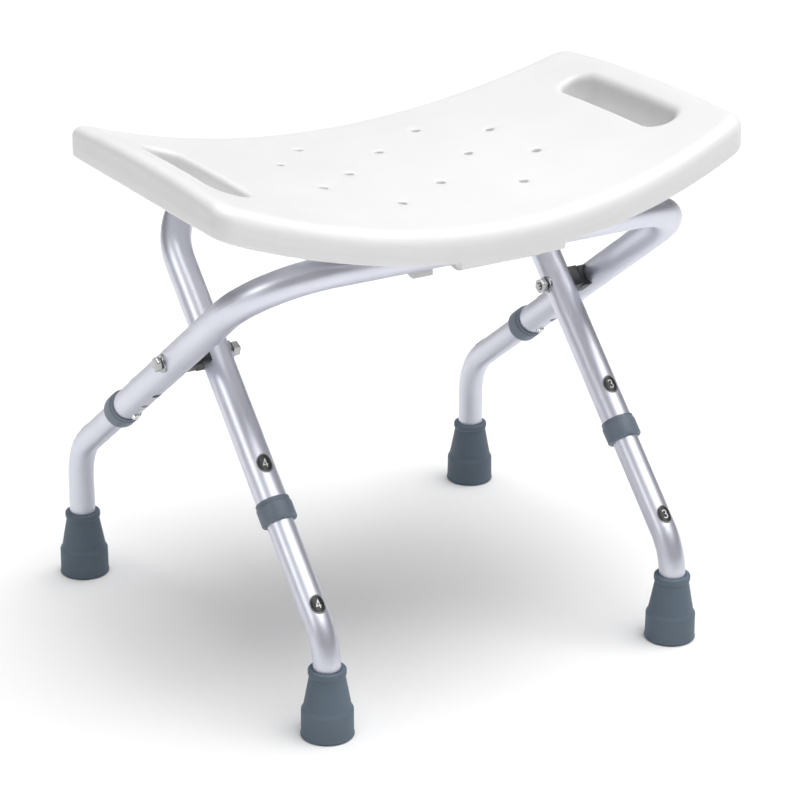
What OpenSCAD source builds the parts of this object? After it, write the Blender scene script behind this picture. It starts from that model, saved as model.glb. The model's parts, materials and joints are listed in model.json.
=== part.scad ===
// Folding shower stool: a dished plastic seat on two crossing aluminium frames,
// with four adjustable leg extensions on rubber feet.
// Millimetres, +Z up. The floor is z = 0 and the four soles surround the origin.

/* [Seat] */
// length of the seat, end to end
seat_length = 485; // [420:1:560]
// depth of the seat at its middle
seat_depth = 311; // [260:1:380]
// depth of the seat at its two ends
seat_end_depth = 259; // [220:1:340]
// thickness of the rim
rim_thickness = 25; // [18:0.5:35]
// how far the ends rise above the middle
seat_dish = 45; // [20:1:70]
// how far the sitting surface swells above the rim line
seat_crown = 6; // [0:0.5:10]
// width of the rim that hangs round the underside
rim_width = 9; // [6:0.5:16]
// height of the rim's lower edge at the middle
seat_bottom_z = 361.6; // [300:0.1:420]
// distance of the seat's centre behind the origin
seat_centre_y = -17.5; // [-40:0.5:40]
// diameter of a drain hole
drain_hole_d = 8; // [5:0.5:12]
// length of a handle slot
slot_length = 143; // [90:1:160]
// width of a handle slot
slot_width = 31; // [20:1:45]
// distance of a handle slot's centre from the seat's centre
slot_centre_x = 199; // [170:1:230]
// distance of a handle slot's centre in front of the seat's centre
slot_forward = 9; // [-20:1:20]
// wall that lines a handle slot down to the underside
slot_wall = 4; // [2:0.5:8]

/* [Frames] */
// diameter of the frame tube
tube_d = 25.4; // [19:0.1:32]
// wall of the frame tube
tube_wall = 1.52; // [1:0.01:3]
// centre distance of the outer frame's legs
outer_width = 403; // [340:1:460]
// centre distance of the inner frame's legs
inner_width = 332; // [280:1:400]
// bend radius between a leg and its crossbar
frame_bend_r = 64; // [45:1:90]
// height of both crossbars
crossbar_z = 366.5; // [320:0.5:420]
// position of the outer frame's crossbar, under the front edge
front_bar_y = -144.8; // [-180:0.1:-100]
// position of the inner frame's crossbar, under the rear edge
rear_bar_y = 95.7; // [60:0.1:140]
// sideways play that the frames take up under the seat
frame_shift_x = -8; // [-10:0.5:10]

/* [Legs] */
// distance of the feet in front of and behind the origin
foot_y = 183.7; // [140:0.1:220]
// diameter of the leg extension
extension_d = 22.2; // [16:0.1:28]
// wall of the leg extension
extension_wall = 1.5; // [1:0.1:3]
// bend radius of the leg extension
extension_bend_r = 55; // [35:1:80]
// height of the extension's bend on the outer frame
outer_knee_z = 117; // [80:1:140]
// height of the extension's bend on the inner frame
inner_knee_z = 77; // [60:1:120]
// rise of the seat from one adjusting hole to the next
row_rise = 16; // [10:0.5:26]
// number of adjusting holes in a leg
row_count = 3; // [2:1:5]

/* [Fittings] */
// running clearance round a shaft or sliding tube
running_gap = 0.08; // [0.02:0.01:0.1]
// clearance between separate bodies
body_gap = 0.3; // [0.2:0.05:1]
// diameter of a pivot bolt
bolt_d = 6.35; // [5:0.05:8]
// diameter of a snap button
button_d = 7; // [5:0.5:10]
// diameter of a number label
label_d = 14; // [8:0.5:18]
// height of a rubber foot
foot_height = 58; // [40:1:70]
// diameter of a rubber foot's sole
foot_d = 43; // [34:1:55]

/* [Hidden] */
$fn = 96;
lip = 1;

tube_r = tube_d / 2;
tube_bore_r = tube_r - tube_wall;
extension_r = extension_d / 2;
extension_bore_r = extension_r - extension_wall;

// lean of each frame's legs from the vertical
outer_lean = atan2(foot_y - front_bar_y, crossbar_z - outer_knee_z);
inner_lean = atan2(foot_y + rear_bar_y, crossbar_z - inner_knee_z);
// length of each leg's slope, from crossbar axis to knee
outer_slope = norm([foot_y - front_bar_y, crossbar_z - outer_knee_z]);
inner_slope = norm([foot_y + rear_bar_y, crossbar_z - inner_knee_z]);

// the two legs of a side cross here
pivot_drop = (rear_bar_y - front_bar_y) / (tan(outer_lean) + tan(inner_lean));
pivot_z = crossbar_z - pivot_drop;
pivot_y = front_bar_y + pivot_drop * tan(outer_lean);
outer_pivot_reach = pivot_drop / cos(outer_lean);
inner_pivot_reach = pivot_drop / cos(inner_lean);

// distances up the slope, counted from the knee
outer_tube_end = 110;
inner_tube_end = 110;
collar_lip = 5;
collar_length = 19;
collar_r = 14.7;
collar_step_r = 14;
first_row = collar_length + 8;
outer_pitch = row_rise / cos(outer_lean);
inner_pitch = row_rise / cos(inner_lean);
extension_overlap = 63;
knee_lap = 0.5;
knee_thinning = 0.03;

// seat: its rim line is an arc about an axis along Y
half_length = seat_length / 2;
seat_r = (half_length * half_length + seat_dish * seat_dish) / (2 * seat_dish);
seat_axis_z = seat_bottom_z + seat_r;
seat_sweep = 46;
edge_step = 4;
edge_step_z = 4;
crown_r = (seat_depth * seat_depth / 4 + seat_crown * seat_crown) / (2 * seat_crown);
bow = (seat_depth - seat_end_depth) / 2;
bow_r = (half_length * half_length + bow * bow) / (2 * bow);
seat_corner_r = 18;
corner_steps = 7;
bow_steps = 10;
// the straight tab under the middle of the front wall
tab_width = 96;
tab_drop = 3;
tab_depth = 8;
tab_setback = 0.2;
// the deck's underside clears the crossbars that lie in the recess
deck_bottom_z = crossbar_z + tube_r + lip;
recess_r = seat_axis_z - deck_bottom_z;
drain_column_x = 56.5;
drain_outer_x = 100;
drain_middle_y = 48;
drain_column_y = 82;
drain_outer_y = 35;
drain_holes = [
    [0, -drain_middle_y], [0, drain_middle_y],
    [-drain_column_x, 0], [drain_column_x, 0],
    [-drain_column_x, -drain_column_y], [-drain_column_x, drain_column_y],
    [drain_column_x, -drain_column_y], [drain_column_x, drain_column_y],
    [-drain_outer_x, -drain_outer_y], [-drain_outer_x, drain_outer_y],
    [drain_outer_x, -drain_outer_y], [drain_outer_x, drain_outer_y]
];

// hinge and clips under the seat
hinge_width = 72;
hinge_wall = 5.2;
hinge_r = tube_r + hinge_wall;
hinge_flange_y = 46;
flange_thickness = 4;
strap_x = -66;
strap_width = 18;
strap_wall = 5.6;
strap_lip = 1;
rear_clip_x = 78;
rear_clip_width = 30;
screw_d = 4;
screw_head_d = 8;
screw_head_h = 2.4;
screw_bite = 4.5;
flange_screw_y = hinge_r + 14;

// pivot hardware
saddle_size = 18;
saddle_wrap = 4;
washer_d = 15;
washer_wall = 1.4;
hex_d = 12.8;
bolt_head_h = 4.2;
nut_h = 5.6;
bolt_proud = 2;

// snap button, spring and label
button_stroke = 5.2;
button_proud = 3.4;
spring_width = 5;
spring_thickness = 0.8;
spring_arm_r = 9;
spring_reach = 34;
label_thickness = 0.35;
outer_label = 158;
inner_label = 152;
extension_label = 31;

// rubber foot
sole_thickness = 8;
socket_relief = 0.4;
foot_band_h = 24;
foot_rim_h = 5;
foot_rim_d = 30.5;
foot_neck_d = 27.5;
foot_shoulder_d = 38.5;
foot_band_d = 41.5;
foot_flare_h = 4;

// leg numbers, side (-1 left, 1 right) and frame
LEGS = [[1, -1, "outer"], [2, 1, "outer"], [3, 1, "inner"], [4, -1, "inner"]];

// ---- places ----

// puts the seat's own centre line in place
module at_seat() {
    translate([0, seat_centre_y, 0]) children();
}

// puts a piece made along X on the front crossbar's axis
module at_front_bar() {
    translate([0, front_bar_y, crossbar_z]) children();
}

// puts a piece made along X on the rear crossbar's axis
module at_rear_bar() {
    translate([0, rear_bar_y, crossbar_z]) children();
}

// a frame's plane: crossbar axis at the origin, legs running down -Z
module at_outer_frame() {
    translate([frame_shift_x, front_bar_y, crossbar_z]) rotate([outer_lean, 0, 0]) children();
}

module at_inner_frame() {
    translate([frame_shift_x, rear_bar_y, crossbar_z]) mirror([0, 1, 0]) rotate([inner_lean, 0, 0])
        children();
}

// a leg's upright axis below the knee, with the knee at the origin
module at_knee(side, frame) {
    if (frame == "outer") {
        translate([frame_shift_x + side * outer_width / 2, foot_y, outer_knee_z]) children();
    } else {
        translate([frame_shift_x + side * inner_width / 2, -foot_y, inner_knee_z])
            mirror([0, 1, 0]) children();
    }
}

// a leg's slope: knee at the origin, +Z up the slope, -Y on the underside
module at_slope(side, frame) {
    at_knee(side, frame) rotate([lean_of(frame), 0, 0]) children();
}

function lean_of(frame) = frame == "outer" ? outer_lean : inner_lean;
function tube_end_of(frame) = frame == "outer" ? outer_tube_end : inner_tube_end;
function pitch_of(frame) = frame == "outer" ? outer_pitch : inner_pitch;
function row_of(frame) = tube_end_of(frame) - collar_lip + first_row;
function knee_of(frame) = frame == "outer" ? outer_knee_z : inner_knee_z;
function label_of(frame) = frame == "outer" ? outer_label : inner_label;
function top_of(frame) = tube_end_of(frame) + extension_overlap;

// the pivot axis, with the left or right side's crossing point at the origin
module at_pivot() {
    translate([frame_shift_x, pivot_y, pivot_z]) children();
}

// ---- seat ----

// points along an arc about a centre, from one bearing to another
function arc(centre, r, from, to, steps) =
    [for (i = [0 : steps]) let (a = from + (to - from) * i / steps) centre + r * [cos(a), sin(a)]];

// one quarter of the outline, from the middle of the right end to the middle of the back:
// a rounded corner that runs on into the bowed long edge
function outline_quarter(inset) =
    let (
        corner_r = seat_corner_r - inset / 2,
        corner_x = half_length - inset - corner_r,
        bow_centre = seat_depth / 2 - bow_r,
        reach = bow_r - inset - corner_r,
        corner_y = bow_centre + sqrt(reach * reach - corner_x * corner_x),
        turn = atan2(corner_y - bow_centre, corner_x)
    )
    concat(
        arc([corner_x, corner_y], corner_r, 0, turn, corner_steps),
        [for (i = [1 : bow_steps])
            let (a = turn + (90 - turn) * i / bow_steps)
            [0, bow_centre] + (bow_r - inset) * [cos(a), sin(a)]]
    );

// the seat's outline from above, drawn in by inset
module seat_outline(inset) {
    quarter = outline_quarter(inset);
    last = len(quarter) - 1;
    polygon(concat(
        quarter,
        [for (i = [last - 1 : -1 : 0]) [-quarter[i][0], quarter[i][1]]],
        [for (i = [0 : last]) -quarter[i]],
        [for (i = [last - 1 : -1 : 0]) [quarter[i][0], -quarter[i][1]]]
    ));
}

// the prism under that outline
module seat_prism(inset) {
    translate([0, 0, seat_bottom_z - lip])
        linear_extrude(height = seat_dish + 2 * rim_thickness + seat_crown) seat_outline(inset);
}

// turns a section of radius and depth about the seat's long axis
module dished(sweep) {
    translate([0, 0, seat_axis_z]) rotate([90, 90, 0]) rotate([0, 0, -sweep / 2])
        rotate_extrude(angle = sweep, $fn = 360) children();
}

// the slab's section: the rim line outside, the crowned sitting surface inside
module slab_section() {
    crown_line = seat_r - rim_thickness - seat_crown;
    intersection() {
        translate([crown_line, -seat_depth]) square([rim_thickness + seat_crown, 2 * seat_depth]);
        translate([crown_line + crown_r, 0]) circle(crown_r, $fn = 720);
    }
}

// the band of the wall that stands furthest out
module wall_band_section() {
    translate([seat_r - rim_thickness + edge_step_z, -seat_depth])
        square([rim_thickness - 2 * edge_step_z, 2 * seat_depth]);
}

module recess_section() {
    translate([recess_r, -seat_depth]) square([2 * rim_thickness, 2 * seat_depth]);
}

// the long hole of both handle slots, grown all round
module handle_slots(growth) {
    straight = slot_length - slot_width;
    width = slot_width + 2 * growth;
    for (sx = [-1, 1]) {
        translate([sx * slot_centre_x, -slot_forward, 0])
            linear_extrude(height = seat_bottom_z + seat_dish + 4 * rim_thickness) {
                square([width, straight], center = true);
                for (sy = [-1, 1]) {
                    translate([0, sy * straight / 2]) circle(width / 2);
                }
            }
    }
}

module seat() {
    color("#f4f4f2") at_seat() difference() {
        union() {
            intersection() {
                dished(seat_sweep) slab_section();
                seat_prism(edge_step);
            }
            intersection() {
                dished(seat_sweep) wall_band_section();
                seat_prism(0);
            }
            translate([-tab_width / 2, -seat_depth / 2 + lip + tab_setback, seat_bottom_z - tab_drop])
                cube([tab_width, tab_depth, edge_step_z + 2 * tab_drop]);
        }
        difference() {
            intersection() {
                dished(seat_sweep + lip) recess_section();
                translate([0, 0, -rim_thickness]) seat_prism(rim_width);
            }
            handle_slots(slot_wall);
        }
        for (hole = drain_holes) {
            translate([hole[0], hole[1], 0])
                cylinder(h = seat_bottom_z + seat_dish + 2 * rim_thickness, d = drain_hole_d);
        }
        handle_slots(0);
    }
}

// ---- hinge and clips under the seat ----

// height of the deck's underside above the crossbar axis, at a distance from the middle
function ceiling_at(x) = seat_axis_z - sqrt(recess_r * recess_r - x * x) - crossbar_z;

// a flange screw: head down, shank up into the deck
module flange_screw(head_z) {
    translate([0, 0, head_z - screw_head_h]) cylinder(h = screw_head_h, d = screw_head_d);
    translate([0, 0, head_z - lip / 2]) cylinder(h = flange_thickness + screw_bite, d = screw_d);
}

module flange_hole() {
    cylinder(h = 4 * hinge_r, d = screw_d + 2 * running_gap, center = true);
}

module hinge_saddle() {
    top = ceiling_at(0) - body_gap;
    color("#ecebe6") at_front_bar() difference() {
        union() {
            intersection() {
                rotate([0, 90, 0]) cylinder(h = hinge_width, r = hinge_r, center = true);
                translate([-hinge_width / 2, -hinge_r, -hinge_r])
                    cube([hinge_width, 2 * hinge_r, hinge_r + lip]);
            }
            translate([-hinge_width / 2, -hinge_r, 0]) cube([hinge_width, 2 * hinge_r, top]);
            translate([-hinge_width / 2, 0, top - flange_thickness])
                cube([hinge_width, hinge_flange_y, flange_thickness]);
        }
        rotate([0, 90, 0])
            cylinder(h = hinge_width + 2 * lip, r = tube_r + running_gap, center = true);
        for (sx = [-1, 1]) {
            translate([sx * hinge_width / 3, flange_screw_y, 0]) flange_hole();
        }
    }
}

module hinge_saddle_screws() {
    head_z = ceiling_at(0) - body_gap - flange_thickness;
    color("#b9bcc2") at_front_bar() for (sx = [-1, 1]) {
        translate([sx * hinge_width / 3, flange_screw_y, 0]) flange_screw(head_z);
    }
}

// a hook that holds the front crossbar from behind and below
module hinge_strap() {
    top = ceiling_at(abs(strap_x) - strap_width / 2) - body_gap;
    hook_r = tube_r + strap_wall;
    color("#e4e4e2") at_front_bar() translate([strap_x, 0, 0]) difference() {
        union() {
            intersection() {
                rotate([0, 90, 0]) cylinder(h = strap_width, r = hook_r, center = true);
                translate([-strap_width / 2, -strap_lip, -hook_r])
                    cube([strap_width, hook_r + strap_lip, hook_r + lip]);
            }
            translate([-strap_width / 2, 0, 0]) cube([strap_width, hook_r, top]);
            translate([-strap_width / 2, 0, top - flange_thickness])
                cube([strap_width, hinge_flange_y, flange_thickness]);
        }
        rotate([0, 90, 0])
            cylinder(h = strap_width + 2 * lip, r = tube_r + running_gap, center = true);
        translate([-strap_width, -hook_r, 0]) cube([2 * strap_width, hook_r, hook_r]);
        translate([0, flange_screw_y, 0]) flange_hole();
    }
}

module hinge_strap_screw() {
    head_z = ceiling_at(abs(strap_x) - strap_width / 2) - body_gap - flange_thickness;
    color("#b9bcc2") at_front_bar() translate([strap_x, flange_screw_y, 0]) flange_screw(head_z);
}

// a hook that cradles the rear crossbar from above and behind
module rear_clip(side) {
    top = ceiling_at(rear_clip_x - rear_clip_width / 2) - body_gap;
    front_jaw_z = 5;
    rear_jaw_z = -8;
    color("#e9e8e3") at_rear_bar() translate([side * rear_clip_x, 0, 0]) difference() {
        union() {
            translate([-rear_clip_width / 2, -hinge_r, front_jaw_z])
                cube([rear_clip_width, 2 * hinge_r, top - front_jaw_z]);
            translate([-rear_clip_width / 2, 0, rear_jaw_z])
                cube([rear_clip_width, hinge_r, top - rear_jaw_z]);
            translate([-rear_clip_width / 2, -hinge_flange_y, top - flange_thickness])
                cube([rear_clip_width, hinge_flange_y, flange_thickness]);
        }
        rotate([0, 90, 0])
            cylinder(h = rear_clip_width + 2 * lip, r = tube_r + running_gap, center = true);
        translate([-rear_clip_width, -tube_r, rear_jaw_z - lip])
            cube([2 * rear_clip_width, tube_r, -rear_jaw_z + lip]);
        translate([0, -flange_screw_y, 0]) flange_hole();
    }
}

module rear_clip_screws() {
    head_z = ceiling_at(rear_clip_x - rear_clip_width / 2) - body_gap - flange_thickness;
    color("#b9bcc2") at_rear_bar() for (side = [-1, 1]) {
        translate([side * rear_clip_x, -flange_screw_y, 0]) flange_screw(head_z);
    }
}

// ---- frames ----

// a tube's wall in section
module tube_section(r, bore_r) {
    difference() {
        circle(r);
        circle(bore_r);
    }
}

// a U of tube in the XZ plane: crossbar at z = 0, open legs down to -reach
module u_tube(width, reach) {
    corner_x = width / 2 - frame_bend_r;
    rotate([0, 90, 0])
        linear_extrude(height = 2 * corner_x, center = true) tube_section(tube_r, tube_bore_r);
    for (side = [0, 1]) {
        mirror([side, 0, 0]) {
            translate([corner_x, 0, -frame_bend_r]) rotate([90, 0, 0]) rotate_extrude(angle = 90)
                translate([frame_bend_r, 0]) tube_section(tube_r, tube_bore_r);
            translate([width / 2, 0, -reach])
                linear_extrude(height = reach - frame_bend_r) tube_section(tube_r, tube_bore_r);
        }
    }
}

// the row of adjusting holes through a leg's underside, counted up from the knee
module button_rows(slope, frame) {
    for (i = [0 : row_count - 1]) {
        translate([0, 0, row_of(frame) + i * pitch_of(frame) - slope]) rotate([90, 0, 0])
            cylinder(h = tube_d, r = button_d / 2 + 0.35);
    }
}

// a whole frame tube: the U, the pivot holes and the adjusting holes
module frame_tube(width, slope, pivot_reach, frame) {
    reach = slope - tube_end_of(frame);
    difference() {
        u_tube(width, reach);
        for (side = [-1, 1]) {
            translate([side * width / 2, 0, -pivot_reach]) rotate([0, 90, 0])
                cylinder(h = 2 * tube_d, r = bolt_d / 2 + running_gap, center = true);
            translate([side * width / 2, 0, 0]) button_rows(slope, frame);
        }
    }
}

module outer_frame_tube() {
    color("#c9cbd2") at_outer_frame()
        frame_tube(outer_width, outer_slope, outer_pivot_reach, "outer");
}

module inner_frame_tube() {
    color("#c9cbd2") at_inner_frame()
        frame_tube(inner_width, inner_slope, inner_pivot_reach, "inner");
}

// ---- pivots ----

// a block between x = 0 and the tube, cupping the tube that lies at +X in a frame's plane
module saddle_block(offset) {
    difference() {
        translate([body_gap / 2, -saddle_size / 2, -saddle_size / 2])
            cube([offset - tube_r + saddle_wrap, saddle_size, saddle_size]);
        translate([offset, 0, 0]) cylinder(h = 2 * saddle_size, r = tube_r + 0.05, center = true);
        rotate([0, 90, 0])
            cylinder(h = 4 * saddle_size, r = bolt_d / 2 + running_gap, center = true);
    }
}

saddle_offset = (outer_width - inner_width) / 4;
middle_x = (outer_width + inner_width) / 4;

module pivot_saddle_outer(side) {
    color("#2c2d33") at_pivot() translate([side * middle_x, 0, 0]) rotate([outer_lean, 0, 0])
        mirror([side < 0 ? 1 : 0, 0, 0]) saddle_block(saddle_offset);
}

module pivot_saddle_inner(side) {
    color("#2c2d33") at_pivot() translate([side * middle_x, 0, 0]) rotate([-inner_lean, 0, 0])
        mirror([side < 0 ? 0 : 1, 0, 0]) saddle_block(saddle_offset);
}

// a round washer curved to the tube, lying on the tube's +X side
module curved_washer() {
    difference() {
        intersection() {
            rotate([0, 90, 0]) cylinder(h = tube_d, d = washer_d);
            cylinder(h = tube_d, r = tube_r + washer_wall, center = true);
        }
        cylinder(h = 2 * tube_d, r = tube_r + 0.05, center = true);
        rotate([0, 90, 0]) cylinder(h = 2 * tube_d, r = bolt_d / 2 + running_gap);
    }
}

module pivot_washer_outer(side) {
    color("#aeb2b9") at_pivot() translate([side * outer_width / 2, 0, 0])
        rotate([outer_lean, 0, 0]) mirror([side < 0 ? 1 : 0, 0, 0]) curved_washer();
}

module pivot_washer_inner(side) {
    color("#aeb2b9") at_pivot() translate([side * inner_width / 2, 0, 0])
        rotate([-inner_lean, 0, 0]) mirror([side < 0 ? 0 : 1, 0, 0]) curved_washer();
}

bolt_seat_x = outer_width / 2 + tube_r + washer_wall + 0.1;
nut_seat_x = inner_width / 2 - tube_r - washer_wall - 0.1;

module pivot_bolt(side) {
    tip_x = nut_seat_x - nut_h - bolt_proud;
    color("#b9bcc2") at_pivot() mirror([side < 0 ? 1 : 0, 0, 0]) rotate([0, 90, 0]) {
        translate([0, 0, tip_x]) cylinder(h = bolt_seat_x - tip_x, d = bolt_d);
        translate([0, 0, bolt_seat_x]) cylinder(h = bolt_head_h, d = hex_d, $fn = 6);
    }
}

module pivot_nut(side) {
    color("#b9bcc2") at_pivot() mirror([side < 0 ? 1 : 0, 0, 0]) rotate([0, 90, 0])
        translate([0, 0, nut_seat_x - nut_h]) difference() {
            cylinder(h = nut_h, d = hex_d, $fn = 6);
            translate([0, 0, -lip]) cylinder(h = nut_h + 2 * lip, r = bolt_d / 2 + running_gap);
        }
}

// ---- legs ----

// the bent tube of an extension: upright from the foot, round the knee, up the slope;
// the wall is a little thinner round the knee, and its ends lap into the straights
module bent_tube(frame) {
    lean = lean_of(frame);
    tangent = extension_bend_r * tan(lean / 2);
    drop = knee_of(frame) - sole_thickness - body_gap;
    translate([0, 0, -drop]) linear_extrude(height = drop - tangent + knee_lap)
        tube_section(extension_r, extension_bore_r);
    translate([0, -extension_bend_r, -tangent]) rotate([90, 0, 90]) rotate_extrude(angle = lean)
        translate([extension_bend_r, 0])
            tube_section(extension_r - knee_thinning, extension_bore_r + knee_thinning);
    rotate([lean, 0, 0]) translate([0, 0, tangent - knee_lap])
        linear_extrude(height = top_of(frame) - tangent + knee_lap)
            tube_section(extension_r, extension_bore_r);
}

module leg_extension(side, frame) {
    color("#c3c5cc") at_knee(side, frame) difference() {
        bent_tube(frame);
        rotate([lean_of(frame), 0, 0]) translate([0, 0, row_of(frame)]) rotate([90, 0, 0])
            cylinder(h = extension_d, r = button_d / 2 + running_gap);
    }
}

module collar(side, frame) {
    bottom = tube_end_of(frame) - collar_lip;
    color("#767d8a") at_slope(side, frame) translate([0, 0, bottom]) difference() {
        union() {
            cylinder(h = collar_length, r = collar_step_r);
            cylinder(h = collar_length - 4, r = collar_r);
        }
        translate([0, 0, -lip]) cylinder(h = collar_length + 2 * lip, r = extension_r + running_gap);
        translate([0, 0, collar_lip - body_gap]) cylinder(h = collar_length, r = tube_r + 0.05);
    }
}

// the pin that stands out of the extension and the frame tube, with a domed end
module snap_button(side, frame) {
    dome_h = 2;
    stem_top = tube_r + button_proud - dome_h;
    stem_bottom = spring_arm_r + body_gap;
    dome_r = (button_d * button_d / 4 + dome_h * dome_h) / (2 * dome_h);
    color("#dfe1e6") at_slope(side, frame) translate([0, 0, row_of(frame)]) rotate([90, 0, 0]) {
        translate([0, 0, stem_bottom]) cylinder(h = stem_top - stem_bottom, d = button_d);
        intersection() {
            translate([0, 0, stem_top + dome_h - dome_r]) sphere(dome_r);
            translate([0, 0, stem_top - lip / 2]) cylinder(h = 2 * dome_h, d = button_d);
        }
    }
}

// a U-shaped leaf inside the extension: one arm behind the button, one on the far wall
module snap_spring(side, frame) {
    tail = spring_reach / 4;
    inner = 2 * (spring_arm_r - spring_thickness);
    color("#9a9da3") at_slope(side, frame)
        translate([-spring_width / 2, -spring_arm_r, row_of(frame) - tail]) difference() {
            cube([spring_width, 2 * spring_arm_r, spring_reach]);
            translate([-lip, spring_thickness, -lip])
                cube([spring_width + 2 * lip, inner, spring_reach - spring_thickness + lip]);
        }
}

module rubber_foot(side, frame) {
    color("#5f6b73") at_knee(side, frame) translate([0, 0, -knee_of(frame)]) difference() {
        rotate_extrude() polygon([
            [0, 0], [foot_d / 2 - lip, 0], [foot_d / 2, lip], [foot_band_d / 2, foot_flare_h],
            [foot_band_d / 2, foot_band_h - lip], [foot_band_d / 2 - lip, foot_band_h],
            [foot_shoulder_d / 2, foot_band_h + lip],
            [foot_neck_d / 2, foot_height - foot_rim_h],
            [foot_rim_d / 2, foot_height - foot_rim_h + lip],
            [foot_rim_d / 2, foot_height - lip], [foot_rim_d / 2 - lip, foot_height],
            [0, foot_height]
        ]);
        translate([0, 0, sole_thickness]) cylinder(h = foot_height, r = extension_r + 0.05);
        translate([0, 0, foot_height - foot_rim_h])
            cylinder(h = foot_height, r = extension_r + socket_relief);
    }
}

// a thin round label wrapped on a tube's upper side
module wrapped_label(r) {
    intersection() {
        rotate([-90, 0, 0]) cylinder(h = 2 * r, d = label_d);
        difference() {
            cylinder(h = 2 * label_d, r = r + 0.03 + label_thickness, center = true);
            cylinder(h = 3 * label_d, r = r + 0.03, center = true);
        }
    }
}

module tube_label(side, frame) {
    color("#17181c") at_slope(side, frame) translate([0, 0, label_of(frame)])
        wrapped_label(tube_r);
}

module extension_label_disc(side, frame) {
    color("#17181c") at_slope(side, frame) translate([0, 0, extension_label])
        wrapped_label(extension_r);
}

// ---- nodes ----

seat();
hinge_saddle();
hinge_saddle_screws();
hinge_strap();
hinge_strap_screw();
rear_clip(-1);  // rear_clip_left
rear_clip(1);  // rear_clip_right
rear_clip_screws();
outer_frame_tube();
inner_frame_tube();
pivot_bolt(-1);  // pivot_bolt_left
pivot_bolt(1);  // pivot_bolt_right
pivot_nut(-1);  // pivot_nut_left
pivot_nut(1);  // pivot_nut_right
pivot_saddle_outer(-1);  // pivot_saddle_outer_left
pivot_saddle_outer(1);  // pivot_saddle_outer_right
pivot_saddle_inner(-1);  // pivot_saddle_inner_left
pivot_saddle_inner(1);  // pivot_saddle_inner_right
pivot_washer_outer(-1);  // pivot_washer_outer_left
pivot_washer_outer(1);  // pivot_washer_outer_right
pivot_washer_inner(-1);  // pivot_washer_inner_left
pivot_washer_inner(1);  // pivot_washer_inner_right
for (leg = LEGS) {
    collar(leg[1], leg[2]);
    leg_extension(leg[1], leg[2]);
    snap_button(leg[1], leg[2]);
    snap_spring(leg[1], leg[2]);
    rubber_foot(leg[1], leg[2]);
    tube_label(leg[1], leg[2]);
    extension_label_disc(leg[1], leg[2]);
}
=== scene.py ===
"""Looks of the folding shower stool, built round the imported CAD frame. Metres, +Z up."""

import json
import math

import bmesh
import bpy
import numpy as np
from mathutils import Matrix, Vector
from mathutils.geometry import delaunay_2d_cdt

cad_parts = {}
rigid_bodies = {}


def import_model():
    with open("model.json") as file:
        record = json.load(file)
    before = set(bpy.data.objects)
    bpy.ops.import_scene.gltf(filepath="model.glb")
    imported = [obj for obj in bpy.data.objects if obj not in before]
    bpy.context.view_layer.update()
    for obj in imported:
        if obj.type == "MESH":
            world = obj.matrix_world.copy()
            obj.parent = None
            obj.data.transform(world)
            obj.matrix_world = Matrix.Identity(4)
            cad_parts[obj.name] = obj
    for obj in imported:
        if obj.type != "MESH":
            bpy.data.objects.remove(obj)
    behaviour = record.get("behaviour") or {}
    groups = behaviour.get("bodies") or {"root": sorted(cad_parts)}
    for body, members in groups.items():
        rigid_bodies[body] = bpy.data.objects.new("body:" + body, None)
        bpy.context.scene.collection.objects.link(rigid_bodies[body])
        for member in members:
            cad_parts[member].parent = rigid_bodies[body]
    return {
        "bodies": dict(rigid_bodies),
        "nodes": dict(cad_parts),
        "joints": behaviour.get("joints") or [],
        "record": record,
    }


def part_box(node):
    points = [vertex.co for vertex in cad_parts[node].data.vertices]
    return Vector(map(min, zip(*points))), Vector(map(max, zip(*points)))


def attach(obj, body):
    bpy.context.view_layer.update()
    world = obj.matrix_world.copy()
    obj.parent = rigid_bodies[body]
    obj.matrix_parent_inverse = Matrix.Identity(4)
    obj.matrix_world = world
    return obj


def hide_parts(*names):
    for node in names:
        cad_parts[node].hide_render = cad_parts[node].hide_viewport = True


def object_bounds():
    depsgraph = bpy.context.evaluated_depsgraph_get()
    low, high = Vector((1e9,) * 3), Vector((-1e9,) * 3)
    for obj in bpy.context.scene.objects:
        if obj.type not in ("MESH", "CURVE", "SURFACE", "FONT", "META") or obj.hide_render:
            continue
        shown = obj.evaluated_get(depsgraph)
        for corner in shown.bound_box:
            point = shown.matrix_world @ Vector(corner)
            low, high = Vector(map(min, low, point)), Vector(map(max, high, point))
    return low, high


MM = 0.001
LEGS = (1, 2, 3, 4)
SIDES = ("left", "right")

# seat
RIM_THICKNESS = 25 * MM
SEAT_CROWN = 6 * MM
SEAT_DISH = 45 * MM
END_DEPTH = 259 * MM
CORNER_R = 18 * MM
TOP_ROUND = 13 * MM
FOOT_ROUND = 2.5 * MM
RIM_WIDTH = 9 * MM
TAB_HALF = 48 * MM
TAB_DROP = 3 * MM
TAB_RAMP = 1 * MM
SLOT_X = 199 * MM
SLOT_FORWARD = 9 * MM
SLOT_WIDTH = 29 * MM
SLOT_LENGTH = 141 * MM
SLOT_ROUND = 6 * MM
SLOT_WALL = 5 * MM
SLOT_WALL_ROUND = 1 * MM
DRAIN_R = 3.6 * MM
DRAIN_ROUND = 1.4 * MM
DRAIN_COLUMNS = {0: (-48, 48), 56.5: (-82, 0, 82), 100: (-35, 35)}
PANEL_INSET = 50 * MM
PANEL_STEP = 0.5 * MM
SEAM_PROUD = 0.2 * MM
SEAM_HALF = 1.2 * MM
PANEL_BLEND = 3 * MM
SURFACE_PITCH = 7 * MM
BODY_GAP = 0.3 * MM
RIM_ROUND = 1 * MM
SEAM_HEIGHT = 0.36 * RIM_THICKNESS
END_STEPS = 12
CORNER_STEPS = 16
EDGE_STEPS = 45
TOP_STEPS = 8
FOOT_STEPS = 5
SLOT_SIDE_STEPS = 20
SLOT_END_STEPS = 24
SLOT_LIP_STEPS = 7
DRAIN_STEPS = 28
DRAIN_LIP_STEPS = 3
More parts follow.
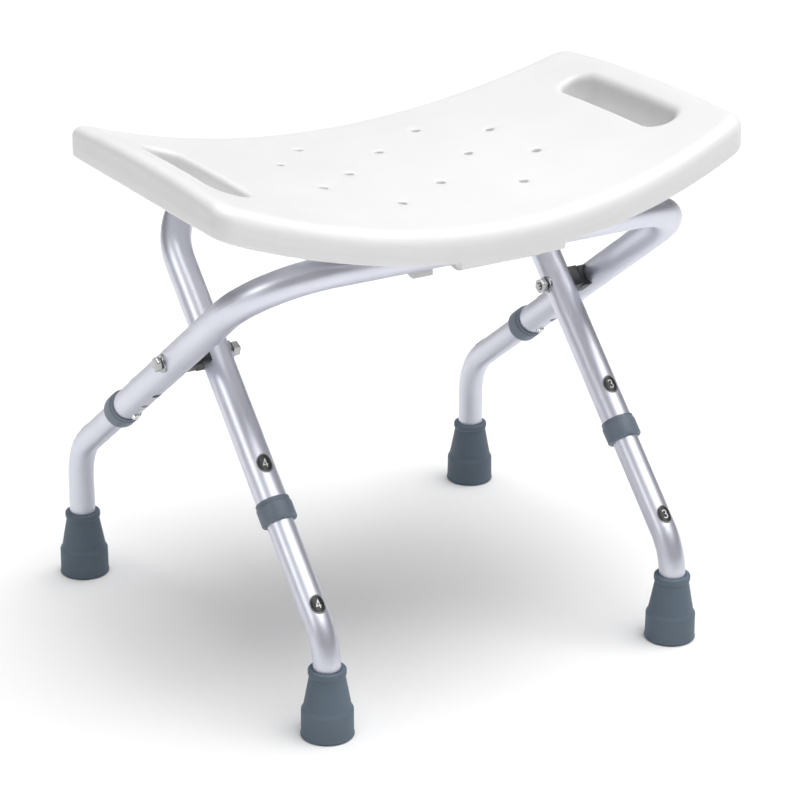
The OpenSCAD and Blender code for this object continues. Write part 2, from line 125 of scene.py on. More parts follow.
GRID_X = 250 * MM
GRID_Y = 180 * MM
GRID_MARGIN = 0.55 * SURFACE_PITCH
POINT_MERGE = 1e-9

# light
DOME_LOW = (0.31, 0.31, 0.335)
DOME_HIGH = (1.0, 1.0, 1.0)
DOME_STRENGTH = 0.42
TOP_STRENGTH = 3.25
TOP_ANGLE = 60
TOP_DIRECTION = (-0.17, 0.12, -1)
BOX_POWER = 15
BOX_SIZE = 1.1
BOX_PLACE = (-2.6, -0.2, 1.35)

# camera, its aim counted from the middle of the CAD box
CAMERA_AZIMUTH = -31.45
CAMERA_ELEVATION = 21.91
CAMERA_ROLL = 0.33
CAMERA_DISTANCE = 2.3328
CAMERA_AIM = (0.0091, 0.0097, -0.0418)
CAMERA_SENSOR = 36
CAMERA_LENS = 123.84
CAMERA_FAR = 100
FLOOR_HALF = 12.0

# tubes, fittings and feet
LABEL_THICKNESS = 0.35 * MM
OVAL_STEPS = 72
INK_RAISE = 0.1 * MM
NUMERAL_STROKE = 0.75 * MM
NUMERAL_HEIGHT = 7 * MM
LABEL_HALF_WIDTH = 7.0 * MM
LABEL_HALF_LENGTH = 8.0 * MM
LABEL_LINE = 0.16 * MM
LABEL_LINE_INSET = 0.45 * MM
FILM_RINGS = 8
STROKE_PITCH = 0.8 * MM
FOOT_TURN_STEPS = 112
COLLAR_TURN_STEPS = 96
BEVEL_SEGMENTS = 3
SHARP_DEGREES = 28
FLAT_DEGREES = 0.5
VERTEX_MERGE = 0.001 * MM


# ---- meshes ----


def new_mesh(name, verts, faces, material, body, split=40):
    """A mesh object with one material that rides on a CAD body."""
    mesh = bpy.data.meshes.new(name)
    mesh.from_pydata([tuple(v) for v in verts], [], [tuple(f) for f in faces])
    mesh.materials.append(material)
    mesh.validate()
    mesh.shade_smooth()
    mesh.set_sharp_from_angle(angle=math.radians(split))
    obj = bpy.data.objects.new(name, mesh)
    bpy.context.scene.collection.objects.link(obj)
    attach(obj, body)
    return obj


def lathe(profile, steps):
    """Vertices and faces of a closed ring of (radius, height) points turned about Z."""
    verts, faces = [], []
    count = len(profile)
    for i in range(steps):
        a = 2 * math.pi * i / steps
        verts += [Vector((r * math.cos(a), r * math.sin(a), z)) for r, z in profile]
    for i in range(steps):
        for k in range(count):
            here = i * count + k
            there = i * count + (k + 1) % count
            total = count * steps
            faces.append((here, (here + count) % total, (there + count) % total, there))
    return verts, faces


def rounded(points, radii, steps):
    """A closed polyline of 2-D points with each corner rounded to its radius."""
    out = []
    count = len(points)
    for i, (point, radius) in enumerate(zip(points, radii)):
        p = Vector(point)
        a = (Vector(points[i - 1]) - p).normalized()
        b = (Vector(points[(i + 1) % count]) - p).normalized()
        if radius <= 0:
            out.append(tuple(p))
            continue
        half = a.angle(b) / 2
        reach = radius / math.tan(half)
        centre = p + (a + b).normalized() * radius / math.sin(half)
        start = (p + a * reach - centre).normalized()
        end = (p + b * reach - centre).normalized()
        for k in range(steps + 1):
            out.append(tuple(centre + start.slerp(end, k / steps) * radius))
    return out


# ---- seat ----


class Seat:
    """The seat's surfaces: x and y from the seat's centre, z from the floor."""

    def __init__(self):
        low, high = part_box("seat")
        self.centre = (low + high) / 2
        self.length = high.x - low.x
        self.depth = high.y - low.y
        self.bottom_z = low.z + TAB_DROP
        half = self.length / 2
        bow = (self.depth - END_DEPTH) / 2
        self.bow_r = (half**2 + bow**2) / (2 * bow)
        self.dish_r = (half**2 + SEAT_DISH**2) / (2 * SEAT_DISH)
        self.axis_z = self.bottom_z + self.dish_r
        saddle_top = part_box("hinge_saddle")[1].z
        self.ceiling_r = self.axis_z - saddle_top - BODY_GAP

    def outline(self, inset):
        """Points round the outline, drawn in by inset, anticlockwise, as an even loop."""
        corner_r = CORNER_R - inset / 2
        corner_x = self.length / 2 - inset - corner_r
        bow_centre = self.depth / 2 - self.bow_r
        reach = self.bow_r - inset - corner_r
        corner_y = bow_centre + math.sqrt(reach**2 - corner_x**2)
        turn = math.atan2(corner_y - bow_centre, corner_x)
        quarter = [(corner_x + corner_r, corner_y * k / END_STEPS) for k in range(END_STEPS)]
        for k in range(CORNER_STEPS + 1):
            a = turn * k / CORNER_STEPS
            quarter.append((corner_x + corner_r * math.cos(a), corner_y + corner_r * math.sin(a)))
        r = self.bow_r - inset
        tab_ends = [math.acos((TAB_HALF + side * TAB_RAMP / 2) / r) for side in (1, -1)]
        evenly = [turn + (math.pi / 2 - turn) * k / EDGE_STEPS for k in range(1, EDGE_STEPS + 1)]
        for a in sorted(evenly + tab_ends):
            quarter.append((r * math.cos(a), bow_centre + r * math.sin(a)))
        left = [(-x, y) for x, y in reversed(quarter[:-1])]
        right = [(x, -y) for x, y in reversed(quarter[1:-1])]
        return quarter + left + [(-x, -y) for x, y in quarter[1:]] + right

    def underside(self, x):
        return self.axis_z - math.sqrt(self.dish_r**2 - x * x)

    def ceiling(self, x):
        return self.axis_z - math.sqrt(self.ceiling_r**2 - x * x)

    def panel(self, x, y):
        """Share, 0 to 1, of the sitting panel's small step at a point."""
        edge = self.depth / 2 - self.bow_r + math.sqrt((self.bow_r - PANEL_INSET) ** 2 - x * x)
        t = (edge - abs(y)) / PANEL_BLEND + 0.5
        t = min(max(t, 0), 1)
        return t * t * (3 - 2 * t)

    def topside(self, x, y):
        r = self.dish_r - RIM_THICKNESS
        crown = (SEAT_CROWN - PANEL_STEP) * (1 - (2 * y / self.depth) ** 2)
        return self.axis_z - math.sqrt(r * r - x * x) + crown + PANEL_STEP * self.panel(x, y)


def slot_outline(cx, inset):
    """A handle slot's rounded outline, grown by a negative inset."""
    r = SLOT_WIDTH / 2 - inset
    straight = (SLOT_LENGTH - SLOT_WIDTH) / 2
    half = [(r, straight * (2 * k / SLOT_SIDE_STEPS - 1)) for k in range(SLOT_SIDE_STEPS)]
    for k in range(SLOT_END_STEPS + 1):
        a = math.pi * k / SLOT_END_STEPS
        half.append((r * math.cos(a), straight + r * math.sin(a)))
    loop = half[:-1] + [(-x, -y) for x, y in half[:-1]]
    return [(cx + x, y - SLOT_FORWARD) for x, y in loop]


def drain_centres():
    """Centres of the drain holes, each column off the middle on both sides."""
    for x, ys in DRAIN_COLUMNS.items():
        for sign in (1, -1) if x else (1,):
            for y in ys:
                yield sign * x * MM, y * MM


def ring(centre, r):
    """Points round a drain hole."""
    turns = [2 * math.pi * k / DRAIN_STEPS for k in range(DRAIN_STEPS)]
    return [(centre[0] + r * math.cos(a), centre[1] + r * math.sin(a)) for a in turns]


def inside(points, loop):
    """Which points lie inside a closed loop."""
    result = np.zeros(len(points), bool)
    px, py = points[:, 0], points[:, 1]
    for (x0, y0), (x1, y1) in zip(loop, loop[1:] + loop[:1]):
        crosses = (y0 > py) != (y1 > py)
        with np.errstate(divide="ignore", invalid="ignore"):
            at = (x1 - x0) * (py - y0) / (y1 - y0) + x0
        result ^= crosses & (px < at)
    return result


class Shell:
    """Gathers loops and filled sheets into one watertight mesh."""

    def __init__(self):
        self.verts, self.faces = [], []

    def loop(self, points):
        """Adds points and returns their indices."""
        start = len(self.verts)
        self.verts += points
        return list(range(start, start + len(points)))

    def bridge(self, a, b):
        """Joins two loops of the same length with four-sided faces."""
        n = len(a)
        for i in range(n):
            j = (i + 1) % n
            self.faces.append((a[i], a[j], b[j], b[i]))

    def sheet(self, outer, holes, height, up):
        """Fills between an outer loop and holes, adding inner points at the surface pitch."""
        loops = [outer] + holes
        flat = [[(self.verts[i][0], self.verts[i][1]) for i in loop] for loop in loops]
        xs = np.arange(-GRID_X, GRID_X, SURFACE_PITCH)
        ys = np.arange(-GRID_Y, GRID_Y, SURFACE_PITCH)
        grid = np.array([(x, y) for x in xs for y in ys])
        keep = inside(grid, flat[0])
        for loop in flat[1:]:
            keep &= ~inside(grid, loop)
        edge = np.array([p for loop in flat for p in loop])
        near = np.min(np.hypot(*(grid[:, None, :] - edge[None, :, :]).transpose(2, 0, 1)), axis=1)
        grid = grid[keep & (near > GRID_MARGIN)]
        points = [Vector(p) for p in edge] + [Vector(p) for p in grid]
        edges, start = [], 0
        for loop in flat:
            n = len(loop)
            edges += [(start + k, start + (k + 1) % n) for k in range(n)]
            start += n
        out, _, tris, origin, _, _ = delaunay_2d_cdt(points, edges, [], 0, POINT_MERGE)
        known = [i for loop in loops for i in loop]
        index = {}
        for k, sources in enumerate(origin):
            if sources and sources[0] < len(known):
                index[k] = known[sources[0]]
            else:
                index[k] = len(self.verts)
                self.verts.append((out[k].x, out[k].y, height(out[k].x, out[k].y)))
        centres = np.array([np.mean([out[i][:] for i in t], axis=0) for t in tris])
        wanted = inside(centres, flat[0])
        for loop in flat[1:]:
            wanted &= ~inside(centres, loop)
        for t, good in zip(tris, wanted):
            if good:
                face = [index[i] for i in t]
                self.faces.append(tuple(face if up else reversed(face)))


def seat_wall(seat, shell):
    """The outer wall from the sitting surface's edge, round the rim, to the recess ceiling."""

    def ramp(x, y):
        """How far the straight tab carries the wall's lower edge down."""
        if y > 0:
            return 0
        share = min(max((TAB_HALF - abs(x)) / TAB_RAMP + 0.5, 0), 1)
        return share * (seat.underside(x) - (seat.bottom_z - TAB_DROP))

    loops = []
    for k in range(TOP_STEPS + 1):
        a = math.pi / 2 * k / TOP_STEPS
        inset = TOP_ROUND * (1 - math.sin(a))
        drop = TOP_ROUND * (1 - math.cos(a))
        loops.append(shell.loop([(x, y, seat.topside(x, y) - drop) for x, y in seat.outline(inset)]))
    for offset, proud in ((SEAM_HALF, 0), (0, SEAM_PROUD), (-SEAM_HALF, 0)):
        rise = SEAM_HEIGHT + offset
        loops.append(shell.loop([(x, y, seat.underside(x) + rise) for x, y in seat.outline(-proud)]))
    rim = []
    for k in range(FOOT_STEPS + 1):
        a = math.pi / 2 * k / FOOT_STEPS
        rim.append((FOOT_ROUND * (1 - math.cos(a)), FOOT_ROUND * (1 - math.sin(a))))
    rim += [(RIM_WIDTH - RIM_ROUND, 0), (RIM_WIDTH, RIM_ROUND)]
    for inset, rise in rim:
        points = [(x, y, seat.underside(x) - ramp(x, y) + rise) for x, y in seat.outline(inset)]
        loops.append(shell.loop(points))
    loops.append(shell.loop([(x, y, seat.ceiling(x)) for x, y in seat.outline(RIM_WIDTH)]))
    for a, b in zip(loops, loops[1:]):
        shell.bridge(b, a)
    return loops[0], loops[-1]


def lip(seat, shell, outline, radius, steps):
    """The rounded upper edge of a hole, as loops from the sitting surface down into the hole."""
    loops = []
    for k in range(steps + 1):
        a = math.pi / 2 * k / steps
        inset = -radius * (1 - math.sin(a))
        drop = radius * (1 - math.cos(a))
        loops.append(shell.loop([(x, y, seat.topside(x, y) - drop) for x, y in outline(inset)]))
    return loops


def drain_hole(seat, shell, centre):
    """A small hole through the deck; returns its upper and lower loops."""

    def outline(inset):
        return ring(centre, DRAIN_R - inset)

    loops = lip(seat, shell, outline, DRAIN_ROUND, DRAIN_LIP_STEPS)
    loops.append(shell.loop([(x, y, seat.ceiling(x)) for x, y in outline(0)]))
    for a, b in zip(loops, loops[1:]):
        shell.bridge(a, b)
    return loops[0], loops[-1]


def handle_hole(seat, shell, cx):
    """A handle slot, lined by a wall down to the underside; returns its upper and lower loops."""
    loops = lip(seat, shell, lambda inset: slot_outline(cx, inset), SLOT_ROUND, SLOT_LIP_STEPS)
    wall = [
        (0, SLOT_WALL_ROUND), (-SLOT_WALL_ROUND, 0),
        (SLOT_WALL_ROUND - SLOT_WALL, 0), (-SLOT_WALL, SLOT_WALL_ROUND),
    ]
    for inset, rise in wall:
        loops.append(shell.loop([(x, y, seat.underside(x) + rise) for x, y in slot_outline(cx, inset)]))
    loops.append(shell.loop([(x, y, seat.ceiling(x)) for x, y in slot_outline(cx, -SLOT_WALL)]))
    for a, b in zip(loops, loops[1:]):
        shell.bridge(a, b)
    return loops[0], loops[-1]


def build_seat(material):
    seat = Seat()
    shell = Shell()
    top, ceiling = seat_wall(seat, shell)
    holes = [handle_hole(seat, shell, side * SLOT_X) for side in (-1, 1)]
    holes += [drain_hole(seat, shell, centre) for centre in drain_centres()]
    uppers = [hole[0] for hole in holes]
    lowers = [hole[1] for hole in holes]
    shell.sheet(top, uppers, seat.topside, True)
    shell.sheet(ceiling, lowers, lambda x, y: seat.ceiling(x), False)
    offset = Vector((seat.centre.x, seat.centre.y, 0))
    verts = [Vector(v) + offset for v in shell.verts]
    obj = new_mesh("seat_moulding", verts, shell.faces, material, "seat_unit", split=50)
    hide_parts("seat")


# ---- feet ----


def knee_axis(number):
    """Where a leg's upright stands, from its rubber foot."""
    low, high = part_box(f"rubber_foot_{number}")
    return Vector(((low.x + high.x) / 2, (low.y + high.y) / 2, low.z))


def foot_profile():
    """Half section of a rubber foot, outside up and socket down."""
    # radius, height and rounding of each corner, in millimetres
    corners = [
        (0.1, 0.0, 0), (19.6, 0.0, 0.8), (21.5, 1.2, 0.7), (20.9, 3.6, 1.5), (20.75, 22.6, 1.2),
        (19.6, 24.6, 0.8), (18.9, 26.0, 3), (14.1, 52.2, 0.8), (15.2, 53.4, 1.0), (15.2, 57.9, 1.4),
        (11.25, 57.9, 0.5), (11.25, 8.0, 0.3), (0.1, 8.0, 0),
    ]
    return rounded([(r * MM, z * MM) for r, z, _ in corners], [curve * MM for _, _, curve in corners], 4)


def build_foot(number, material):
    verts, faces = lathe(foot_profile(), FOOT_TURN_STEPS)
    base = knee_axis(number)
    obj = new_mesh(
        f"ferrule_{number}", [v + base for v in verts], faces, material, f"leg_{number}", split=60
    )
    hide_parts(f"rubber_foot_{number}")


# ---- pieces on the sloping legs ----


def frame_of(number):
    """The frame that a leg slides in: the back legs' is the outer one."""
    return "outer_frame" if number in (1, 2) else "inner_frame"


def span(obj, direction):
    """Lowest and highest reach of an object along a direction."""
    reach = [(obj.matrix_world @ v.co).dot(direction) for v in obj.data.vertices]
    return min(reach), max(reach)


class Slope:
    """Axes of a leg's slope: across it, up it and out of its upper side."""

    def __init__(self, record, number):
        joints = {joint["name"]: joint for joint in record["behaviour"]["joints"]}
        self.up = Vector(joints[f"leg_slide_{number}"]["axis"])
        self.out = Vector((0, math.copysign(self.up.z, -self.up.y), abs(self.up.y)))
        self.across = self.up.cross(self.out)

    def middle(self, obj, direction):
        return sum(span(obj, direction)) / 2

    def matrix(self, obj):
        """Carries Z to the slope's direction, from the middle of a round piece's lower end."""
        base = self.across * self.middle(obj, self.across)
        base += self.out * self.middle(obj, self.out)
        base += self.up * span(obj, self.up)[0]
        axes = Matrix((self.across, self.up.cross(self.across), self.up)).transposed()
        return Matrix.Translation(base) @ axes.to_4x4()


def collar_profile():
    """Half section of a collar: gripping lip below, stepped sleeve above."""
    # radius, height and rounding of each corner, in millimetres
    corners = [
        (11.2, 0, 0.5), (14.7, 0, 1.8), (14.7, 14.6, 0.7), (14.0, 15.2, 0),
        (14.0, 19, 0.9), (12.76, 19, 0.3), (12.76, 4.8, 0), (11.2, 4.8, 0),
    ]
    return rounded([(r * MM, z * MM) for r, z, _ in corners], [curve * MM for _, _, curve in corners], 5)


def build_collar(frame, number, material):
    node = f"collar_{number}"
    place = Slope(frame["record"], number).matrix(frame["nodes"][node])
    verts, faces = lathe(collar_profile(), COLLAR_TURN_STEPS)
    body = frame_of(number)
    obj = new_mesh(f"sleeve_{number}", [place @ v for v in verts], faces, material, body, split=50)
    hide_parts(node)


# each numeral as strokes between points, in halves of its height
NUMERALS = {
    1: [[(-0.28, 0.62), (0.08, 1), (0.08, -1)], [(-0.32, -1), (0.42, -1)]],
    2: [[(-0.5, 0.5), (-0.4, 0.85), (0, 1), (0.4, 0.85), (0.5, 0.5), (0.35, 0.1), (-0.52, -1), (0.55, -1)]],
    3: [[
        (-0.5, 0.72), (-0.2, 0.98), (0.2, 0.98), (0.46, 0.7), (0.42, 0.3), (0.1, 0.08),
        (0.42, -0.14), (0.52, -0.55), (0.3, -0.92), (-0.15, -1), (-0.52, -0.72),
    ]],
    4: [[(0.22, -1), (0.22, 1), (-0.58, -0.42), (0.6, -0.42)]],
}


def stroke(points, width):
    """A flat ribbon of the given width along a polyline: its points in pairs, left and right."""
    pairs = []
    for i, point in enumerate(points):
        p = Vector(point)
        before = (p - Vector(points[i - 1])).normalized() if i else None
        after = (Vector(points[i + 1]) - p).normalized() if i + 1 < len(points) else None
        ahead = ((before or after) + (after or before)).normalized()
        side = Vector((-ahead.y, ahead.x)) / max(0.5, ahead.dot(after or before))
        pairs.append((p + side * width / 2, p - side * width / 2))
    return pairs


def finer(points, pitch):
    """A polyline with points added so that none are further apart than the pitch."""
    out = [points[0]]
    for p, q in zip(points, points[1:]):
        pieces = max(1, math.ceil(math.dist(p, q) / pitch))
        a, b = Vector(p), Vector(q)
        out += [tuple(a.lerp(b, k / pieces)) for k in range(1, pieces + 1)]
    return out


class Wrap:
    """Lays flat drawings round a tube, centred on a label and standing up the slope."""

    def __init__(self, frame, label, number):
        slope = Slope(frame["record"], number)
        across_low, across_high = span(label, slope.across)
        out_low, top = span(label, slope.out)
        half, drop = (across_high - across_low) / 2, top - out_low
        self.slope = slope
        self.radius = (half**2 + drop**2) / (2 * drop)
        self.axis = slope.across * slope.middle(label, slope.across)
        self.axis += slope.up * slope.middle(label, slope.up) + slope.out * (top - self.radius)
        self.verts, self.faces = [], []

    def point(self, u, v, lift):
        turn = u / self.radius
        out = self.slope.out * math.cos(turn) + self.slope.across * math.sin(turn)
        return self.axis + self.slope.up * v + out * (self.radius + lift)

    def ribbon(self, pairs, low, high, closed):
        """A raised strip between pairs of flat points, from one lift to another."""
        start, count = len(self.verts), len(pairs)
        for left, right in pairs:
            for lift in (high, low):
                self.verts += [self.point(*left, lift), self.point(*right, lift)]
        for i in range(count if closed else count - 1):
            a, b = start + 4 * i, start + 4 * ((i + 1) % count)
            for j, k in ((0, 1), (1, 3), (3, 2), (2, 0)):
                self.faces.append((a + j, a + k, b + k, b + j))
        if not closed:
            last = start + 4 * (count - 1)
            self.faces.append((start, start + 2, start + 3, start + 1))
            self.faces.append((last, last + 1, last + 3, last + 2))

    def oval(self, inset):
        """Points of the label's outline, drawn in by inset."""
        a, b = LABEL_HALF_WIDTH - inset, LABEL_HALF_LENGTH - inset
        turns = [2 * math.pi * k / OVAL_STEPS for k in range(OVAL_STEPS)]
        return [(a * math.cos(t), b * math.sin(t)) for t in turns]

    def film(self, thickness):
        """A closed oval film whose outer face is the label's."""
        shares = [k / FILM_RINGS for k in range(1, FILM_RINGS + 1)]
        rings = [(share, 0) for share in shares] + [(share, -thickness) for share in reversed(shares)]
        first = len(self.verts)
        self.verts.append(self.point(0, 0, 0))
        for share, lift in rings:
            self.verts += [self.point(x * share, y * share, lift) for x, y in self.oval(0)]
        last = len(self.verts)
        self.verts.append(self.point(0, 0, -thickness))
        for k in range(OVAL_STEPS):
            j = (k + 1) % OVAL_STEPS
            self.faces.append((first, first + 1 + k, first + 1 + j))
            for r in range(len(rings) - 1):
                a = first + 1 + r * OVAL_STEPS
                self.faces.append((a + k, a + OVAL_STEPS + k, a + OVAL_STEPS + j, a + j))
            self.faces.append((last, last - OVAL_STEPS + j, last - OVAL_STEPS + k))


def build_label(frame, number, kind, body, film, ink):
    """A black oval label with a white line round it and the leg's number."""
    node = f"{kind}_label_{number}"
    source = frame["nodes"][node]
    back = Wrap(frame, source, number)
    back.film(LABEL_THICKNESS)
    label = new_mesh(f"{kind}_film_{number}", back.verts, back.faces, film, body)
    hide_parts(node)
    ink_lines = Wrap(frame, source, number)
    scale = NUMERAL_HEIGHT / 2
    for points in NUMERALS[number]:
        path = finer([(x * scale, y * scale) for x, y in points], STROKE_PITCH)
        ink_lines.ribbon(stroke(path, NUMERAL_STROKE), 0, INK_RAISE, False)
    line = zip(ink_lines.oval(LABEL_LINE_INSET), ink_lines.oval(LABEL_LINE_INSET + LABEL_LINE))
    ink_lines.ribbon(list(line), 0, INK_RAISE, True)
    new_mesh(f"{kind}_figure_{number}", ink_lines.verts, ink_lines.faces, ink, body, split=30)


# ---- softened fittings ----


def build_softened(frame, node, body, material, radius):
    """A fitting in the shape of its CAD piece, with every sharp edge rounded off."""
    source = frame["nodes"][node]
    bm = bmesh.new()
    bm.from_mesh(source.data)
    bmesh.ops.transform(bm, matrix=source.matrix_world, verts=bm.verts)
    bmesh.ops.remove_doubles(bm, verts=bm.verts, dist=VERTEX_MERGE)
    flat = math.radians(FLAT_DEGREES)
    bmesh.ops.dissolve_limit(bm, angle_limit=flat, verts=bm.verts, edges=bm.edges, delimit=set())
    limit = math.radians(SHARP_DEGREES)
    sharp = [e for e in bm.edges if e.is_manifold and e.calc_face_angle(0) > limit]
    bmesh.ops.bevel(
        bm, geom=sharp, offset=radius, segments=BEVEL_SEGMENTS, profile=0.5,
        affect="EDGES", clamp_overlap=True,
    )
    bmesh.ops.triangulate(bm, faces=bm.faces)
    verts = [v.co.copy() for v in bm.verts]
    bm.verts.index_update()
    faces = [[v.index for v in face.verts] for face in bm.faces]
    bm.free()
    obj = new_mesh(f"{node}_soft", verts, faces, material, body, split=35)
    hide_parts(node)


# ---- materials ----


class Nodes:
    """A short way to write a node material."""

    def __init__(self, name):
        self.material = bpy.data.materials.new(name)
        self.material.use_nodes = True
        self.tree = self.material.node_tree
        self.shader = self.tree.nodes["Principled BSDF"]
        self.coords = self.tree.nodes.new("ShaderNodeTexCoord")

    def add(self, kind, **values):
        """A new node with the given input values."""
        node = self.tree.nodes.new(kind)
        for key, value in values.items():
            node.inputs[key].default_value = value
        return node

    def link(self, out, into):
        self.tree.links.new(out, into)

    def set(self, **values):
        """Sets inputs of the shader, each named with _ for a space."""
        for key, value in values.items():
            self.shader.inputs[key.replace("_", " ")].default_value = value

    def noise(self, scale, detail=3.0):
        noise = self.add("ShaderNodeTexNoise", Scale=scale, Detail=detail)
        self.link(self.coords.outputs["Object"], noise.inputs["Vector"])
        return noise.outputs["Fac"]

    def ramp(self, fac, low, high):
        """Blends two colours over the middle of the noise's range."""
        ramp = self.add("ShaderNodeValToRGB")
        ramp.color_ramp.elements[0].position = 0.3
        ramp.color_ramp.elements[1].position = 0.7
        ramp.color_ramp.elements[0].color = low
        ramp.color_ramp.elements[1].color = high
        self.link(fac, ramp.inputs["Fac"])
        return ramp.outputs["Color"]

    def spread(self, fac, low, high):
        """Spreads a 0 to 1 value between two others."""
        spread = self.add("ShaderNodeMapRange")
        spread.inputs["To Min"].default_value = low
        spread.inputs["To Max"].default_value = high
        self.link(fac, spread.inputs["Value"])
        return spread.outputs["Result"]

    def bump(self, fac, strength, distance):
        bump = self.add("ShaderNodeBump", Strength=strength, Distance=distance)
        self.link(fac, bump.inputs["Height"])
        self.link(bump.outputs["Normal"], self.shader.inputs["Normal"])


def grey(value, tint=(1, 1, 1)):
    return (value * tint[0], value * tint[1], value * tint[2], 1)


def moulded_plastic(name, low, high, roughness, grain=900.0, strength=0.05, tint=(1, 1, 1)):
    """Plastic with faint clouding, uneven gloss and a fine moulded grain."""
    m = Nodes(name)
    clouds = m.noise(14.0, 4.0)
    m.link(m.ramp(clouds, grey(low, tint), grey(high, tint)), m.shader.inputs["Base Color"])
    m.link(m.spread(m.noise(60.0, 2.0), *roughness), m.shader.inputs["Roughness"])
    m.bump(m.noise(grain, 2.0), strength, 0.0004)
    return m


def white_seat():
    m = moulded_plastic("seat_white", 0.75, 0.78, (0.34, 0.44), tint=(1, 1, 0.995))
    m.set(IOR=1.5, Subsurface_Weight=0.15, Subsurface_Scale=0.01)
    m.shader.inputs["Subsurface Radius"].default_value = (1, 1, 1)
    return m.material


def satin_aluminium(name, low, high):
    m = Nodes(name)
    streaks = m.noise(40.0, 3.0)
    tint = (0.89, 0.905, 1.0)
    m.link(m.ramp(streaks, grey(low, tint), grey(high, tint)), m.shader.inputs["Base Color"])
    m.link(m.spread(m.noise(30.0, 2.0), 0.42, 0.46), m.shader.inputs["Roughness"])
    m.bump(m.noise(1800.0, 2.0), 0.008, 0.0001)
    m.set(Metallic=1.0)
    return m.material


def metal(name, value, roughness, tint=(1, 1, 1)):
    m = Nodes(name)
    tone = m.ramp(m.noise(180.0), grey(value * 0.92, tint), grey(value, tint))
    m.link(tone, m.shader.inputs["Base Color"])
    m.link(m.spread(m.noise(240.0, 2.0), *roughness), m.shader.inputs["Roughness"])
    m.bump(m.noise(1500.0, 2.0), 0.04, 0.0002)
    m.set(Metallic=1.0)
    return m.material


def rubber():
    m = moulded_plastic("foot_grey_rubber", 0.105, 0.125, (0.5, 0.62), 1300.0, 0.12, (0.88, 1.19, 1.52))
    m.set(IOR=1.45)
    return m.material


# ---- stage ----


def build_stage(floor_z):
    """A white floor at the soles."""
    mesh = bpy.data.meshes.new("floor")
    half = FLOOR_HALF
    corners = [(-half, -half, 0), (half, -half, 0), (half, half, 0), (-half, half, 0)]
    mesh.from_pydata(corners, [], [(0, 1, 2, 3)])
    floor = bpy.data.objects.new("floor", mesh)
    bpy.context.scene.collection.objects.link(floor)
    floor.location.z = floor_z
    m = Nodes("floor_white")
    m.link(m.ramp(m.noise(0.6, 2.0), grey(0.86), grey(0.89)), m.shader.inputs["Base Color"])
    m.set(Roughness=0.85)
    m.shader.inputs["Specular IOR Level"].default_value = 0.1
    mesh.materials.append(m.material)


def area_light(name, place, target, size, power):
    light = bpy.data.lights.new(name, "AREA")
    light.shape = "DISK"
    light.size = size
    light.energy = power
    obj = bpy.data.objects.new(name, light)
    bpy.context.scene.collection.objects.link(obj)
    obj.location = place
    obj.rotation_euler = (Vector(target) - Vector(place)).to_track_quat("-Z", "Y").to_euler()
    return obj


def build_light(centre):
    """A dome that darkens towards the horizon, a soft top light and a box that only glints in metal."""
    world = bpy.data.worlds.new("studio")
    bpy.context.scene.world = world
    world.use_nodes = True
    tree = world.node_tree
    coords = tree.nodes.new("ShaderNodeTexCoord")
    split = tree.nodes.new("ShaderNodeSeparateXYZ")
    ramp = tree.nodes.new("ShaderNodeValToRGB")
    ramp.color_ramp.elements[0].position = 0.0
    ramp.color_ramp.elements[0].color = (*DOME_LOW, 1)
    ramp.color_ramp.elements[1].position = 0.85
    ramp.color_ramp.elements[1].color = (*DOME_HIGH, 1)
    tree.links.new(coords.outputs["Generated"], split.inputs["Vector"])
    tree.links.new(split.outputs["Z"], ramp.inputs["Fac"])
    tree.links.new(ramp.outputs["Color"], tree.nodes["Background"].inputs["Color"])
    tree.nodes["Background"].inputs["Strength"].default_value = DOME_STRENGTH
    sun = bpy.data.lights.new("top", "SUN")
    sun.energy = TOP_STRENGTH
    sun.angle = math.radians(TOP_ANGLE)
    top = bpy.data.objects.new("top", sun)
    bpy.context.scene.collection.objects.link(top)
    top.rotation_euler = Vector(TOP_DIRECTION).to_track_quat("-Z", "Y").to_euler()
    box = area_light("box", centre + Vector(BOX_PLACE), centre, BOX_SIZE, BOX_POWER)
    box.visible_diffuse = False


def build_camera(centre):
    """A long lens from the front left, a little above the seat."""
    azimuth, elevation = math.radians(CAMERA_AZIMUTH), math.radians(CAMERA_ELEVATION)
    aim = centre + Vector(CAMERA_AIM)
    back = Vector((
        math.sin(azimuth) * math.cos(elevation),
        -math.cos(azimuth) * math.cos(elevation),
        math.sin(elevation),
    ))
    right = Vector((math.cos(azimuth), math.sin(azimuth), 0))
    up = back.cross(right)
    tilt = Matrix.Rotation(math.radians(CAMERA_ROLL), 3, back)
    right, up = tilt @ right, tilt @ up
    data = bpy.data.cameras.new("camera")
    data.sensor_width = CAMERA_SENSOR
    data.lens = CAMERA_LENS
    data.clip_end = CAMERA_FAR
    camera = bpy.data.objects.new("camera", data)
    bpy.context.scene.collection.objects.link(camera)
    axes = Matrix((right, up, back)).transposed()
    camera.matrix_world = Matrix.Translation(aim + back * CAMERA_DISTANCE) @ axes.to_4x4()
    bpy.context.scene.camera = camera


# ---- build ----


def paint(nodes, names, material):
    """Gives CAD pieces a material."""
    for name in names:
        nodes[name].data.materials.clear()
        nodes[name].data.materials.append(material)


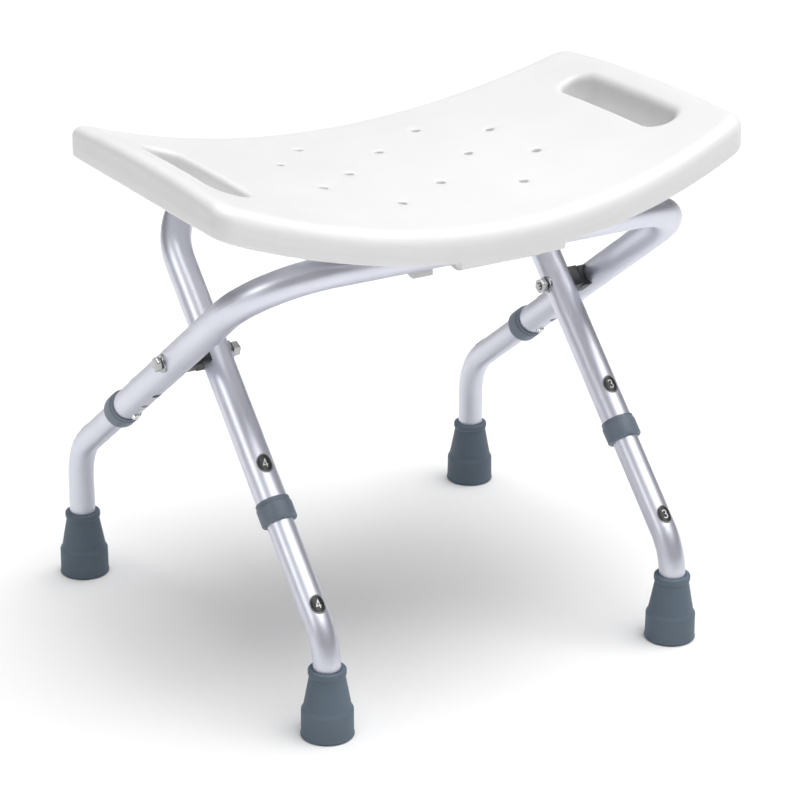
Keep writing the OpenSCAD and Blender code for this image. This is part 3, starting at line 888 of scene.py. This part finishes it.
def main():
    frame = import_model()
    nodes = frame["nodes"]
    cad_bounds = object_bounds()
    low, high = Vector(cad_bounds[0]), Vector(cad_bounds[1])
    centre = (low + high) / 2

    white = white_seat()
    aluminium = satin_aluminium("frame_satin", 0.73, 0.76)
    extension = satin_aluminium("extension_satin", 0.72, 0.75)
    zinc = metal("zinc_plate", 0.42, (0.16, 0.26))
    chrome = metal("button_polished", 0.8, (0.08, 0.14))
    spring = metal("spring_leaf", 0.5, (0.3, 0.4))
    black = moulded_plastic("saddle_black", 0.016, 0.022, (0.4, 0.5), tint=(0.9, 0.95, 1.2)).material
    # The clips, hinge saddle and hinge strap are white plastic. Their colour is painted mid grey, darker
    # than the seat, as painted shade for the shade they sit in under the seat.
    clip = moulded_plastic("clip_white_painted_shade", 0.56, 0.62, (0.4, 0.5)).material
    collar = moulded_plastic("collar_grey", 0.19, 0.215, (0.42, 0.52), tint=(0.70, 0.87, 1.09)).material
    label = moulded_plastic("label_black", 0.012, 0.018, (0.3, 0.4)).material
    figure = moulded_plastic("figure_white", 0.78, 0.84, (0.4, 0.5)).material
    foot = rubber()

    paint(nodes, ["outer_frame_tube", "inner_frame_tube"], aluminium)
    paint(nodes, [n for n in nodes if n.startswith("leg_extension")], extension)
    paint(nodes, [n for n in nodes if n.startswith("snap_button")], chrome)
    paint(nodes, [n for n in nodes if n.startswith("snap_spring")], spring)
    paint(nodes, ["hinge_saddle_screws", "hinge_strap_screw", "rear_clip_screws"], zinc)

    build_seat(white)
    for number in LEGS:
        build_foot(number, foot)
        build_collar(frame, number, collar)
        build_label(frame, number, "tube", frame_of(number), label, figure)
        build_label(frame, number, "extension", f"leg_{number}", label, figure)
    for side in SIDES:
        for kind in ("outer", "inner"):
            body = f"{kind}_frame"
            build_softened(frame, f"pivot_saddle_{kind}_{side}", body, black, 2.0 * MM)
            build_softened(frame, f"pivot_washer_{kind}_{side}", body, zinc, 0.3 * MM)
        build_softened(frame, f"pivot_bolt_{side}", "outer_frame", zinc, 0.7 * MM)
        build_softened(frame, f"pivot_nut_{side}", "outer_frame", zinc, 0.7 * MM)
        build_softened(frame, f"rear_clip_{side}", "seat_unit", clip, 1.0 * MM)
    build_softened(frame, "hinge_saddle", "seat_unit", clip, 1.0 * MM)
    build_softened(frame, "hinge_strap", "seat_unit", clip, 2.0 * MM)

    build_stage(low.z)
    build_light(centre)
    build_camera(centre)
    bpy.context.scene.view_settings.view_transform = "Standard"


main()
